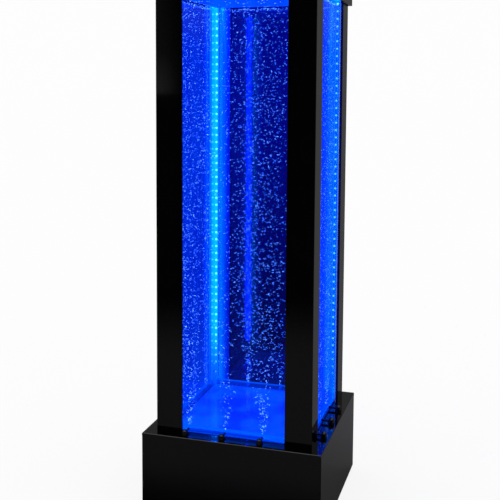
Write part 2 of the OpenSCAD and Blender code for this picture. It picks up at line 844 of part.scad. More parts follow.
module core_ceiling() {
    half = core_half - seat_gap;
    corner_cut = corner_gap + 1;
    color("#dfe8ff") translate([0, 0, column_top_z - ceiling_t - 2]) linear_extrude(ceiling_t) difference() {
        square(2 * half, center = true);
        for (x = [-1, 1], y = [-1, 1])
            translate([x * core_half, y * core_half]) square(2 * corner_cut, center = true);
    }
}

// ---- water panels ----

module outer_sheet(side) {
    color([0.25, 0.4, 1, 0.35]) on_side(side) difference() {
        translate([-panel_half, -panel_face, base_h])
            cube([2 * panel_half, sheet_t, column_top_z - base_h]);
        for (u = inlet_places)
            translate([u, -panel_face - overcut, jet_z]) rotate([-90, 0, 0])
                cylinder(h = sheet_t + 2 * overcut, r = stem_r + running_gap);
    }
}

module outer_sheet_front() { outer_sheet(0); }
module outer_sheet_right() { outer_sheet(1); }
module outer_sheet_rear() { outer_sheet(2); }
module outer_sheet_left() { outer_sheet(3); }

module inner_sheet(side) {
    color([0.25, 0.4, 1, 0.35]) on_side(side)
        translate([-panel_half, -water_inner, base_h])
            cube([2 * panel_half, sheet_t, column_top_z - base_h]);
}

module inner_sheet_front() { inner_sheet(0); }
module inner_sheet_right() { inner_sheet(1); }
module inner_sheet_rear() { inner_sheet(2); }
module inner_sheet_left() { inner_sheet(3); }

// Two side rails and the air bar, which has a jet over each inlet
module panel_rails(side) {
    bar_half = panel_half - rail_w;
    color([0.35, 0.5, 1, 0.5]) on_side(side) {
        for (edge = [-panel_half, panel_half - rail_w])
            translate([edge, -water_outer, base_h])
                cube([rail_w, water_gap, column_top_z - base_h]);
        difference() {
            translate([-bar_half, -water_outer, base_h]) cube([2 * bar_half, water_gap, air_bar_h]);
            for (u = inlet_places) {
                translate([u, -water_outer - overcut, jet_z]) rotate([-90, 0, 0])
                    cylinder(h = overcut + water_gap / 2 + stem_r, r = stem_r + running_gap);
                translate([u, -water_outer + water_gap / 2, jet_z])
                    cylinder(h = air_bar_h, r = jet_r);
            }
        }
    }
}

module panel_rails_front() { panel_rails(0); }
module panel_rails_right() { panel_rails(1); }
module panel_rails_rear() { panel_rails(2); }
module panel_rails_left() { panel_rails(3); }

// The water that fills each panel up to just under the cap
module water() {
    half = panel_half - rail_w;
    low_z = base_h + air_bar_h;
    color([0.05, 0.2, 1, 0.5]) for (side = [0:3]) on_side(side)
        translate([-half, -water_outer, low_z])
            cube([2 * half, water_gap, water_z - low_z]);
}

// ---- cap ----

module cap_front_wall() {
    color("#0b0b0d") long_wall(cap_half, cap_z, cap_plate_z);
}

module cap_rear_wall() {
    color("#0b0b0d") on_side(2) long_wall(cap_half, cap_z, cap_plate_z);
}

module cap_right_wall() {
    color("#0b0b0d") short_wall(cap_half, cap_z, cap_plate_z);
}

module cap_left_wall() {
    color("#0b0b0d") on_side(2) short_wall(cap_half, cap_z, cap_plate_z);
}

module cap_top() {
    color("#0b0b0d") translate([0, 0, cap_plate_z]) bevelled_plate(cap_half, deck_t, edge_bevel);
}

// Blocks in the cap's corners that rest on the posts
module cap_seat_blocks() {
    low_z = column_top_z + seat_gap;
    size = cap_inner - panel_half;
    color("#2a2a2c") at_all_corners()
        translate([panel_half, panel_half, low_z]) cube([size, size, cap_plate_z - low_z]);
}

base_front_wall();
base_rear_wall();
base_left_wall();
base_right_wall();
base_deck();
bottom_plate();
base_corner_blocks();
bottom_screws();
feet();
power_inlet();
switch_frame();
switch_rocker();
power_board();
led_controller();
wiring();
air_pump_case();
air_pump_cover();
pump_mounts();
air_manifold();
valve_knob_front();
valve_knob_right();
valve_knob_rear();
valve_knob_left();
check_valves();
air_rails();
air_hoses();
air_inlets();
post_front_left();
post_front_right();
post_rear_left();
post_rear_right();
post_liners();
led_strip_front_left();
led_strip_front_right();
led_strip_rear_left();
led_strip_rear_right();
outer_sheet_front();
outer_sheet_right();
outer_sheet_rear();
outer_sheet_left();
inner_sheet_front();
inner_sheet_right();
inner_sheet_rear();
inner_sheet_left();
panel_rails_front();
panel_rails_right();
panel_rails_rear();
panel_rails_left();
water();
core_floor();
core_ceiling();
core_collar();
post_blocks();
cap_front_wall();
cap_rear_wall();
cap_left_wall();
cap_right_wall();
cap_top();
cap_seat_blocks();
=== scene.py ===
import math

import bmesh
import bpy
from mathutils import Matrix, Vector


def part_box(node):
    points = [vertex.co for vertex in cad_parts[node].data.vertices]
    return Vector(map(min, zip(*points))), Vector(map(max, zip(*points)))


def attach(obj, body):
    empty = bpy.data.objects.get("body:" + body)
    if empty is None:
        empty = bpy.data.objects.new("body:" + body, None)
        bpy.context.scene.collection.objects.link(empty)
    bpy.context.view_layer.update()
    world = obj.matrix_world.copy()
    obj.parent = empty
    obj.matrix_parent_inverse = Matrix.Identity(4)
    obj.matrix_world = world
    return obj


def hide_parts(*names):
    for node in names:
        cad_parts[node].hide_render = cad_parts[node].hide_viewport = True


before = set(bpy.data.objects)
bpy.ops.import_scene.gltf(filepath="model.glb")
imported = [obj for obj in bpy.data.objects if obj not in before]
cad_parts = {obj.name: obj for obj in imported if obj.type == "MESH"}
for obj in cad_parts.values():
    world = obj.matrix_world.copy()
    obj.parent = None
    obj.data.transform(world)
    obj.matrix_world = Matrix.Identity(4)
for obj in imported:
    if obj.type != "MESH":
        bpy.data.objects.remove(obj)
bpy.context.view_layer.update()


# ---- base box, corner posts and cap: gloss black acrylic -----------------------------------------
# Sheets cut to size, their edges bevelled and polished, and welded at the corners. The surface is
# a little uneven, as cast sheet is, and carries the faintest polishing haze.

class Signal:
    """A value, colour or vector in a node tree. Arithmetic on it adds Math nodes."""

    def __init__(self, tree, socket):
        self.tree, self.socket = tree, socket

    def out(self, name):
        return Signal(self.tree, self.socket.node.outputs[name])

    def math(self, operation, *values):
        return self.tree.node("ShaderNodeMath", {"operation": operation}, dict(enumerate(values)))

    def __add__(self, other):
        return self.math("ADD", self, other)

    def __sub__(self, other):
        return self.math("SUBTRACT", self, other)

    def __mul__(self, other):
        return self.math("MULTIPLY", self, other)

    def __truediv__(self, other):
        return self.math("DIVIDE", self, other)

    def __pow__(self, other):
        return self.math("POWER", self, other)

    def __radd__(self, other):
        return self.math("ADD", other, self)

    def __rsub__(self, other):
        return self.math("SUBTRACT", other, self)

    def __rmul__(self, other):
        return self.math("MULTIPLY", other, self)

    def __neg__(self):
        return 0.0 - self

    def __abs__(self):
        return self.math("ABSOLUTE", self)

    def lesser(self, other):
        return self.math("MINIMUM", self, other)

    def greater(self, other):
        return self.math("MAXIMUM", self, other)

    def below(self, other):
        return self.math("LESS_THAN", self, other)

    def exp(self):
        return self.math("EXPONENT", self)

    def ramp(self, low, high, start=0.0, end=1.0):
        """Smoothly from start, where this is low, to end, where it is high."""
        return self.tree.node(
            "ShaderNodeMapRange", {"interpolation_type": "SMOOTHSTEP"},
            {"Value": self, "From Min": low, "From Max": high, "To Min": start, "To Max": end})


class Tree:
    """A node tree that is built up node by node."""

    def __init__(self, nodes, links):
        self.nodes, self.links = nodes, links

    def node(self, kind, settings=None, inputs=None):
        """Adds a node: its settings first, then the value or link of each socket."""
        made = self.nodes.new(kind)
        for name, value in (settings or {}).items():
            setattr(made, name, value)
        for name, value in (inputs or {}).items():
            for one in value if isinstance(value, list) else [value]:
                if isinstance(one, Signal):
                    self.links.new(one.socket, made.inputs[name])
                else:
                    made.inputs[name].default_value = one
        return Signal(self, made.outputs[0]) if made.outputs else None


class Finish(Tree):
    """A material, with what all of this lamp's finishes use."""

    def __init__(self, name):
        self.material = bpy.data.materials.new(name)
        self.material.use_nodes = True
        super().__init__(self.material.node_tree.nodes, self.material.node_tree.links)
        self.nodes.clear()
        self.place = self.node("ShaderNodeTexCoord").out("Object")

    def axes(self):
        split = self.node("ShaderNodeSeparateXYZ", None, {"Vector": self.place})
        return split, split.out("Y"), split.out("Z")

    def noise(self, scale, detail=2.0, stretch=None):
        place = self.place
        if stretch:
            place = self.node("ShaderNodeVectorMath", {"operation": "MULTIPLY"}, {0: place, 1: stretch})
        return self.node("ShaderNodeTexNoise", None, {"Vector": place, "Scale": scale, "Detail": detail})

    def mix(self, share, first, second):
        made = self.node("ShaderNodeMix", {"data_type": "RGBA"}, {0: share, 6: first, 7: second})
        return Signal(self, made.socket.node.outputs[2])

    def bump(self, height, strength, distance):
        return self.node("ShaderNodeBump", None,
                         {"Strength": strength, "Distance": distance, "Height": height})

    def done(self, shader):
        self.node("ShaderNodeOutputMaterial", None, {"Surface": shader})
        return self.material

    def plastic(self, colour, roughness, **sockets):
        """A Principled surface; sockets are named with _ for a space."""
        inputs = {name.replace("_", " "): value for name, value in sockets.items()}
        return self.node("ShaderNodeBsdfPrincipled", None,
                         {"Base Color": colour, "Roughness": roughness, **inputs})

    def light(self, colour):
        """A surface that gives off only painted light and mirrors nothing."""
        return self.plastic((0, 0, 0, 1), 1.0, Specular_IOR_Level=0.0,
                            Emission_Color=colour, Emission_Strength=1.0)


def dress(material, *names):
    """Puts a material on CAD nodes."""
    for name in names:
        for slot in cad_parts[name].material_slots:
            slot.material = material


gloss_black = Finish("gloss_black_acrylic")
haze = gloss_black.noise(11, 3)
dress(
    gloss_black.done(gloss_black.plastic(
        gloss_black.mix(haze, (0.0004, 0.0004, 0.0005, 1), (0.0011, 0.0011, 0.0013, 1)),
        haze.ramp(0.3, 0.75, 0.02, 0.05),
        IOR=1.49,
        Normal=gloss_black.bump(gloss_black.noise(16, 1), 0.03, 0.001))),
    "base_front_wall", "base_rear_wall", "base_left_wall", "base_right_wall", "base_deck",
    "post_front_left", "post_front_right", "post_rear_left", "post_rear_right",
    "cap_front_wall", "cap_rear_wall", "cap_left_wall", "cap_right_wall", "cap_top")


# ---- bottom plate and corner blocks --------------------------------------------------------------
# Plain black sheet, sawn and left matt, since nobody sees it. The blocks are welded into the
# corners of the base and of the cap.

sawn_black = Finish("matt_black_sheet")
grain = sawn_black.noise(420, 3)
dress(
    sawn_black.done(sawn_black.plastic(
        sawn_black.mix(grain, (0.012, 0.012, 0.013, 1), (0.026, 0.026, 0.028, 1)),
        grain.ramp(0.3, 0.7, 0.42, 0.62),
        Normal=sawn_black.bump(grain, 0.25, 0.0003))),
    "bottom_plate", "base_corner_blocks", "cap_seat_blocks")


# ---- bottom screws -------------------------------------------------------------------------------
# Zinc-plated steel screws with flat, cross-slotted heads. They are sunk in the bottom plate and
# driven up into the corner blocks.

plated = Finish("plated_steel")
streaks = plated.noise(900, 2, (1, 1, 0.15))
dress(
    plated.done(plated.plastic(
        plated.mix(streaks, (0.46, 0.46, 0.45, 1), (0.62, 0.62, 0.63, 1)),
        streaks.ramp(0.3, 0.7, 0.24, 0.4), Metallic=1.0)),
    "bottom_screws")


# ---- feet and pump mounts ------------------------------------------------------------------------
# Moulded black rubber, under the bottom plate and between it and the pump. It has a fine matt grain
# and a slightly paler bloom.

rubber = Finish("black_rubber")
pores = rubber.noise(1300, 2)
bloom = rubber.noise(45, 2)
dress(
    rubber.done(rubber.plastic(
        rubber.mix(bloom, (0.014, 0.014, 0.014, 1), (0.03, 0.03, 0.031, 1)),
        bloom.ramp(0.3, 0.7, 0.6, 0.8), Specular_IOR_Level=0.35,
        Normal=rubber.bump(pores, 0.3, 0.0002))),
    "feet", "pump_mounts")


# ---- power inlet, switch and air inlets ----------------------------------------------------------
# Glossy black mouldings. The air inlets are domed elbows that stand on the deck, three to a panel,
# with a tail through the deck and a stub into the panel's air bar.

moulded = Finish("black_moulding")
swirl = moulded.noise(160, 2)
dress(
    moulded.done(moulded.plastic(
        moulded.mix(swirl, (0.001, 0.001, 0.001, 1), (0.002, 0.002, 0.002, 1)),
        swirl.ramp(0.3, 0.7, 0.13, 0.24),
        Normal=moulded.bump(moulded.noise(1100, 1), 0.08, 0.0001))),
    "power_inlet", "switch_frame", "switch_rocker", "air_inlets")


# ---- power board ---------------------------------------------------------------------------------
# A green lacquered board with copper tracks under the lacquer. It stands on four standoffs, and the
# parts soldered on top are dark.

board = Finish("lacquered_board")
up = board.axes()[2]
tracks = board.noise(70, 0, (1, 6, 1)).ramp(0.56, 0.6)
just_above_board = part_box("power_board")[0].z + 0.008
on_parts = up.ramp(just_above_board - 0.0002, just_above_board + 0.0002)
dress(
    board.done(board.plastic(
        board.mix(on_parts,
                  board.mix(tracks, (0.012, 0.09, 0.035, 1), (0.02, 0.16, 0.06, 1)),
                  (0.015, 0.015, 0.018, 1)),
        on_parts.ramp(0, 1, 0.22, 0.4))),
    "power_board")


# ---- LED controller ------------------------------------------------------------------------------
# A drawn and anodised case, brushed along its length. It is held down on the bottom plate by a lug
# at each end.

anodised = Finish("anodised_case")
brushed = anodised.noise(600, 2, (0.05, 1, 1))
dress(
    anodised.done(anodised.plastic(
        anodised.mix(brushed, (0.17, 0.18, 0.2, 1), (0.27, 0.28, 0.31, 1)),
        brushed.ramp(0.3, 0.7, 0.3, 0.45), Metallic=0.9,
        Normal=anodised.bump(brushed, 0.1, 0.0001))),
    "led_controller")


# ---- wiring --------------------------------------------------------------------------------------
# Leads in a soft red sleeve, slightly wavy from being drawn. Above the deck the blue light of the
# strips is painted on them as glow.

sleeve = Finish("red_sleeve")
up = sleeve.axes()[2]
deck_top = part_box("base_deck")[1].z
wavy = sleeve.noise(240, 1)
dress(
    sleeve.done(sleeve.plastic(
        sleeve.mix(wavy, (0.3, 0.02, 0.014, 1), (0.46, 0.035, 0.024, 1)),
        wavy.ramp(0.3, 0.7, 0.35, 0.5),
        # Painted glow above the deck, for the strips' blue light on the leads.
        Emission_Color=sleeve.mix(up.ramp(deck_top - 0.006, deck_top + 0.006),
                                  (0, 0, 0, 1), (0.1, 1.6, 4.6, 1)),
        Emission_Strength=1.0)),
    "wiring")


# ---- air pump ------------------------------------------------------------------------------------
# A cast and bead-blasted case with cooling ribs, closed by a grained plastic cover that carries the
# outlet.

blasted = Finish("blasted_casting")
beads = blasted.noise(950, 3)
dress(
    blasted.done(blasted.plastic(
        blasted.mix(beads, (0.4, 0.41, 0.43, 1), (0.56, 0.57, 0.59, 1)),
        beads.ramp(0.3, 0.7, 0.4, 0.55), Metallic=0.85,
        Normal=blasted.bump(beads, 0.3, 0.0003))),
    "air_pump_case")

grained = Finish("grained_cover")
fine = grained.noise(1500, 2)
dress(
    grained.done(grained.plastic(
        grained.mix(fine, (0.08, 0.088, 0.096, 1), (0.125, 0.135, 0.145, 1)),
        fine.ramp(0.3, 0.7, 0.5, 0.64), Normal=grained.bump(fine, 0.35, 0.0002))),
    "air_pump_cover")


# ---- manifold and valve knobs --------------------------------------------------------------------
# A turned brass hub with four arms. Each arm has a bored boss for a quarter-turn valve, whose red
# knob hangs under it.

brass = Finish("turned_brass")
tool_marks = brass.noise(700, 1, (0.2, 0.2, 1))
tarnish = brass.noise(60, 3)
dress(
    brass.done(brass.plastic(
        brass.mix(tarnish, (0.5, 0.34, 0.12, 1), (0.66, 0.48, 0.2, 1)),
        tool_marks.ramp(0.3, 0.7, 0.18, 0.34), Metallic=1.0,
        Normal=brass.bump(tool_marks, 0.12, 0.0001))),
    "air_manifold")

knob_red = Finish("red_knob")
flow = knob_red.noise(130, 2)
dress(
    knob_red.done(knob_red.plastic(
        knob_red.mix(flow, (0.42, 0.022, 0.014, 1), (0.55, 0.035, 0.022, 1)),
        flow.ramp(0.3, 0.7, 0.16, 0.3))),
    "valve_knob_front", "valve_knob_right", "valve_knob_rear", "valve_knob_left")


# ---- check valves, rails and hoses ---------------------------------------------------------------
# Pale mouldings: a non-return valve in each line, and a closed pipe under the inlets of each side.
# Black rubber hoses push onto their barbs.

pale = Finish("pale_moulding")
cloud = pale.noise(120, 2)
dress(
    pale.done(pale.plastic(
        pale.mix(cloud, (0.66, 0.7, 0.72, 1), (0.8, 0.82, 0.84, 1)),
        cloud.ramp(0.3, 0.7, 0.25, 0.4), Subsurface_Weight=0.1)),
    "check_valves", "air_rails")

hose_black = Finish("hose_rubber")
drawn = hose_black.noise(500, 2)
dress(
    hose_black.done(hose_black.plastic(
        hose_black.mix(drawn, (0.035, 0.036, 0.04, 1), (0.06, 0.062, 0.067, 1)),
        drawn.ramp(0.3, 0.7, 0.4, 0.55))),
    "air_hoses")


# ---- liners, floor, collar, ceiling and corner blocks of the core --------------------------------
# Opal white sheet. The blue light of the LED strips is painted on it as glow: cyan beside a strip,
# and fading towards the column's foot. What lies on top of the ceiling, under the cap, gets a dimmer
# painted glow, for only the light that comes through.

strip_low, strip_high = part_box("led_strip_rear_left")
strip_x = -(strip_low.x + strip_high.x) / 2
strip_half = (strip_high.x - strip_low.x) / 2
tape_y = strip_high.y - 0.0005
panel_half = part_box("outer_sheet_front")[1].x
liner_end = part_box("post_front_right")[0].x + 0.001
ceiling_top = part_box("core_ceiling")[1].z


def painted_glow_opal(name, near_colour, low_colour, high_colour, reach, mottle, fade, covered=None, seam=None):
    """Opal sheet with a painted glow for the strips' light: near_colour beside a strip, and clouds of the
    other two further off. fade is where the painted light near a strip dies away, low and high. covered
    is the painted glow behind the edge of a panel, outer and inner, and seam the colour of the painted
    shade along the floor's edge under the panels."""
    opal = Finish(name)
    x, y, z = opal.axes()
    aside = abs(abs(x) - strip_x).greater(strip_half) - strip_half
    back = abs(abs(y) - tape_y)
    distance = (aside * aside + back * back) ** 0.5
    # Painted light: bright beside a strip, dying away below the fade heights.
    near = (-(distance / reach)).exp() * z.ramp(*fade)
    patches = opal.noise(mottle, 2, (1, 1, 0.3)).ramp(0.35, 0.68)
    glow = opal.mix(near, opal.mix(patches, (*low_colour, 1), (*high_colour, 1)), (*near_colour, 1))
    # Painted glow where a panel's edge covers the liner, with a line of painted shade where the liner ends.
    if covered:
        along_leg = abs(x).lesser(abs(y))
        behind = opal.mix(along_leg.ramp(liner_end + 0.003, panel_half), (*covered[0], 1), (*covered[1], 1))
        behind = opal.mix(along_leg.below(liner_end + 0.0005), behind, (0.0, 0.004, 0.06, 1))
        glow = opal.mix(along_leg.below(panel_half), glow, behind)
    # Painted shade: a dimmer glow along the floor's edge under the panels.
    if seam:
        on_seam = abs(x).greater(abs(y)).ramp(panel_half + 0.0002, panel_half + 0.0012)
        glow = opal.mix(on_seam, glow, (*seam, 1))
    # Painted shade on top of the ceiling, under the cap: a dim glow for the little light that gets there.
    glow = opal.mix(z.ramp(ceiling_top - 0.001, ceiling_top - 0.0002), glow, (0.0, 0.05, 0.45, 1))
    return opal.done(opal.plastic(
        opal.mix(patches, (0.22, 0.24, 0.36, 1), (0.27, 0.3, 0.42, 1)),
        patches.ramp(0, 1, 0.12, 0.2),
        Emission_Color=glow, Emission_Strength=1.0))


strip_foot = (0.19, 0.34)
core_foot = (0.0, 0.1)
dress(
    painted_glow_opal("opal_liner", (0.0, 9.0, 7.0), (0.0, 1.4, 4.6), (0.0, 2.6, 5.2), reach=0.009, mottle=30,
              fade=strip_foot, covered=((0.0, 2.5, 10.0), (0.0, 60.0, 21.0))),
    "post_liners", "post_blocks")
dress(
    painted_glow_opal("opal_floor", (0.0, 2.8, 6.0), (0.0, 0.4, 5.2), (0.0, 1.6, 5.4), reach=0.03, mottle=14,
              fade=core_foot, seam=(0.0, 0.15, 2.2)),
    "core_floor")
dress(
    painted_glow_opal("opal_head", (0.0, 2.0, 5.4), (0.0, 0.8, 4.4), (0.0, 1.8, 5.0), reach=0.02, mottle=14,
              fade=core_foot),
    "core_ceiling", "core_collar")


# ---- LED strips ----------------------------------------------------------------------------------
# A white flexible tape with two rows of LEDs, stuck up the inside of each corner post. On the left
# the rear strip shines cyan and the front one deep blue. Both right ones are paler, on dim tapes.

strip = Finish("led_strip_lit")
x, y, z = strip.axes()
front = y.below(0.0)
right = 1.0 - x.below(0.0)
on_chip = abs(y).below(tape_y - 0.00015)
inner_row = abs(x).below(strip_x)
off_middle = abs(abs(x) - strip_x).ramp(0.002, strip_half)
bead = strip.mix(inner_row, (1.0, 26.0, 40.0, 1), (8.0, 52.0, 50.0, 1))
bead = strip.mix(right, strip.mix(front, bead, (0.0, 14.0, 240.0, 1)), (7.0, 30.0, 16.0, 1))
tape = strip.mix(off_middle, (0.0, 10.0, 200.0, 1), (0.0, 0.6, 30.0, 1))
tape = strip.mix(right, strip.mix(front, (0.0, 13.0, 20.0, 1), tape), (0.0, 1.3, 2.6, 1))
full = z.ramp(*strip_foot).greater(front)
dress(
    strip.done(strip.plastic(
        strip.mix(on_chip, (0.25, 0.27, 0.3, 1), (0.8, 0.84, 0.84, 1)),
        on_chip.ramp(0, 1, 0.45, 0.15),
        Emission_Color=strip.mix(full, (0.0, 2.0, 5.0, 1), strip.mix(on_chip, tape, bead)),
        Emission_Strength=1.0)),
    "led_strip_front_left", "led_strip_front_right", "led_strip_rear_left", "led_strip_rear_right")


# ---- clear sheets and rails of the water panels --------------------------------------------------
# Cast acrylic, polished, and glued to side rails and an air bar at the foot. The outer sheet is deep
# blue through its thickness. The rails, the air bar and the glued edges carry a painted glow for the
# strips' light.

SIDES = ("front", "right", "rear", "left")
rail_w = 0.012
glue_half = 0.0004
air_bar_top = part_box("panel_rails_front")[0].z + rail_w


def clear_sheet(name, tint, mirror_front, mirror_edge, bar_top=None, glued_at=None):
    """Clear acrylic that mirrors a little, and more at a glancing angle. With bar_top it has a painted glow
    below that height and at a glancing angle, and with glued_at a painted glint in a line so far from
    the panel's middle."""
    sheet = Finish(name)
    x, y, z = sheet.axes()
    facing = sheet.node("ShaderNodeLayerWeight", None, {"Blend": 0.5}).out("Facing")
    ripple = sheet.noise(9, 1).ramp(0.3, 0.7)
    shader = sheet.node("ShaderNodeBsdfTransparent", None, {"Color": (*tint, 1)})
    # Painted glow in the rails and the air bar, for the strips' light caught in their edges.
    if bar_top:
        in_bar = z.ramp(bar_top - 0.0005, bar_top + 0.0005, 1.0, 0.0)
        edge_light = sheet.mix(ripple, (0.0, 5.5, 6.0, 1), (0.0, 7.5, 6.5, 1))
        shader = sheet.node("ShaderNodeMixShader", None, {
            0: 0.9 * in_bar + (5.6 * facing ** 8).lesser(0.28), 1: shader,
            2: sheet.light(sheet.mix(in_bar, edge_light, (0.0, 1.1, 4.2, 1)))})
    # A painted glint along each glue line.
    if glued_at:
        on_glue = abs(abs(x).lesser(abs(y)) - glued_at).below(glue_half)
        shader = sheet.node("ShaderNodeMixShader", None, {
            0: 0.6 * on_glue, 1: shader, 2: sheet.light((0.0, 5.0, 7.0, 1))})
    mirror = sheet.node("ShaderNodeBsdfGlossy", None,
                        {"Color": (0.9, 0.95, 1, 1), "Roughness": ripple.ramp(0, 1, 0.02, 0.06)})
    return sheet.done(sheet.node("ShaderNodeMixShader", None, {
        0: mirror_front + mirror_edge * facing ** 5, 1: shader, 2: mirror}))


dress(clear_sheet("blue_clear_sheet", (0.2, 0.21, 0.5), 0.006, 0.03),
      *["outer_sheet_" + side for side in SIDES])
dress(clear_sheet("clear_sheet", (0.985, 0.985, 1.0), 0.035, 0.3, glued_at=panel_half - rail_w),
      *["inner_sheet_" + side for side in SIDES])
dress(clear_sheet("clear_rail", (0.96, 0.98, 1.0), 0.02, 0.2, bar_top=air_bar_top),
      *["panel_rails_" + side for side in SIDES])


# ---- water ---------------------------------------------------------------------------------------
# Still water between the sheets. Its blue glow is painted: faint from the front and growing towards
# the top, strong where it is seen along the panel, and paler near the surface. Its surface creeps up
# the sheets a little, as water does on acrylic.

water_low, water_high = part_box("water")
outer_skin, inner_skin = -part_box("outer_sheet_front")[1].y, -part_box("inner_sheet_front")[0].y
panel_mid = (outer_skin + inner_skin) / 2


def water_body(skin, creep):
    """Water in all four panels, a skin's width clear of the acrylic, with a rounded dip on top."""
    half_gap = (outer_skin - inner_skin) / 2 - skin
    half_width = panel_half - rail_w - skin
    low = water_low.z + skin
    high = water_high.z
    section = [(-half_gap, low), (half_gap, low), (half_gap, high)]
    for step in range(1, 8):
        across = half_gap - 2 * half_gap * step / 8
        section.append((across, high - creep * (1 - abs(across / half_gap)) ** 0.5))
    section.append((-half_gap, high))
    mesh = bmesh.new()
    for quarter in range(4):
        turn = Matrix.Rotation(quarter * math.pi / 2, 4, "Z")
        ends = [[mesh.verts.new(turn @ Vector((u, -panel_mid - across, z))) for across, z in section]
                for u in (-half_width, half_width)]
        count = len(section)
        for k in range(count):
            mesh.faces.new([ends[0][k], ends[0][(k + 1) % count], ends[1][(k + 1) % count], ends[1][k]])
        mesh.faces.new(ends[0][::-1])
        mesh.faces.new(ends[1])
    bmesh.ops.recalc_face_normals(mesh, faces=mesh.faces)
    return mesh


def piece(name, mesh, material, body):
    """A finished piece that rides on a body."""
    made = bpy.data.objects.new(name, bpy.data.meshes.new(name))
    if isinstance(mesh, bmesh.types.BMesh):
        mesh.to_mesh(made.data)
        mesh.free()
    else:
        made.data = mesh
    made.data.materials.clear()
    made.data.materials.append(material)
    bpy.context.scene.collection.objects.link(made)
    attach(made, body)
    return made


water_painted_glow = Finish("water_painted_glow")
z = water_painted_glow.axes()[2]
facing = water_painted_glow.node("ShaderNodeLayerWeight", None, {"Blend": 0.5}).out("Facing")
# Painted glow seen along the panel: patchy, and paler near the surface.
glow_patches = water_painted_glow.noise(26, 2, (1, 1, 0.12)).ramp(0.3, 0.7)
near_surface = z.ramp(water_high.z - 0.11, water_high.z - 0.02)
painted_glow_along_panel = water_painted_glow.light(water_painted_glow.mix(
    near_surface, water_painted_glow.mix(glow_patches, (0.0, 0.7, 4.3, 1), (0.0, 1.5, 5.0, 1)), (0.3, 1.3, 4.2, 1)))
# Seen from the front: clear, with a faint painted glow that grows towards the top.
clear = water_painted_glow.node("ShaderNodeBsdfTransparent", None, {"Color": (0.94, 0.98, 1.0, 1)})
through = water_painted_glow.node("ShaderNodeMixShader", None, {
    0: z.ramp(0.25, 1.0, 0.0, 0.03), 1: clear, 2: water_painted_glow.light((0.0, 0.1, 6.0, 1))})
water = piece(
    "water_fill", water_body(skin=0.0003, creep=0.0016),
    water_painted_glow.done(water_painted_glow.node("ShaderNodeMixShader", None, {
        0: (1.5 * facing ** 3.3).lesser(0.45), 1: through, 2: painted_glow_along_panel})),
    "root")
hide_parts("water")


# ---- bubbles -------------------------------------------------------------------------------------
# Air from three jets in each panel. Each stream starts as a thin thread and fans out as it rises.
# Small bubbles stay round, large ones flatten into caps, and a line of foam stands at the surface.

class Pattern(Tree):
    """A Geometry Nodes tree with named sizes, for what repeats."""

    def __init__(self, name, sizes):
        self.group = bpy.data.node_groups.new(name, "GeometryNodeTree")
        super().__init__(self.group.nodes, self.group.links)
        self.group.interface.new_socket(
            name="Geometry", in_out="OUTPUT", socket_type="NodeSocketGeometry")
        for size, value in sizes.items():
            kind = "NodeSocketInt" if isinstance(value, int) else "NodeSocketFloat"
            given = self.group.interface.new_socket(name=size, in_out="INPUT", socket_type=kind)
            given.default_value = value
        self.given = self.node("NodeGroupInput")

    def size(self, name):
        return self.given.out(name)

    def chance(self, number, low=0.0, high=1.0):
        made = self.node("FunctionNodeRandomValue", {"data_type": "FLOAT"},
                         {2: low, 3: high, 8: self.size("Seed") * 20.0 + float(number)})
        return Signal(self, made.socket.node.outputs[1])

    def vector(self, x, y, z):
        return self.node("ShaderNodeCombineXYZ", None, {"X": x, "Y": y, "Z": z})

    def done(self, geometry, material):
        loose = self.node("GeometryNodeRealizeInstances", None, {"Geometry": geometry})
        smooth = self.node("GeometryNodeSetShadeSmooth", None, {0: loose})
        painted = self.node("GeometryNodeSetMaterial", None, {"Geometry": smooth, "Material": material})
        self.node("NodeGroupOutput", None, {0: painted})
        return self.group

    def bake(self, **sizes):
        """The plain mesh that the tree makes at these sizes."""
        holder = bpy.data.objects.new("holder", bpy.data.meshes.new("holder"))
        bpy.context.scene.collection.objects.link(holder)
        modifier = holder.modifiers.new("pattern", "NODES")
        modifier.node_group = self.group
        for socket in self.group.interface.items_tree:
            if socket.in_out == "INPUT" and socket.name in sizes:
                modifier[socket.identifier] = sizes[socket.name]
        made = bpy.data.meshes.new_from_object(
            holder.evaluated_get(bpy.context.evaluated_depsgraph_get()))
        holder.modifiers.remove(modifier)
        bpy.data.objects.remove(holder)
        return made


# The bubbles' light is painted: an emission glint for the strips' light, bright or dim by a noise.
glint = Finish("bubble_glint")
twinkle = glint.noise(190, 0).ramp(0.35, 0.72)
bubble_finish = glint.done(glint.plastic(
    glint.mix(twinkle, (0.6, 0.75, 0.9, 1), (0.9, 0.95, 1.0, 1)), 0.3,
    Emission_Color=glint.mix(twinkle, (0.8, 6.5, 10.0, 1), (11.0, 28.0, 18.0, 1)),
    Emission_Strength=1.0))

streams = Pattern("bubble_streams", {
    "Seed": 3, "Bubbles": 2500, "Middle jet": -0.0195, "Jet pitch": 0.0795, "Panel middle": panel_mid,
    "Foot": water_low.z + 0.001, "Surface": water_high.z, "Froth": 0.005,
    "Half width": panel_half - rail_w - 0.0035,
    "Thread": 0.0018, "Fan": 0.05, "Fan height": 0.32, "Ball radius": 0.0006, "Cap radius": 0.0009})

# How high each bubble has risen: a few have reached the surface and lie on it as foam.
height = streams.size("Surface") - streams.size("Foot")
lot = streams.chance(1) * 1.08
in_foam = 1.0 - lot.below(1.0)
rise = lot.lesser(1.0) * height + in_foam * streams.chance(11) * streams.size("Froth")
fanned = 1.0 - (-(rise / streams.size("Fan height"))).exp()

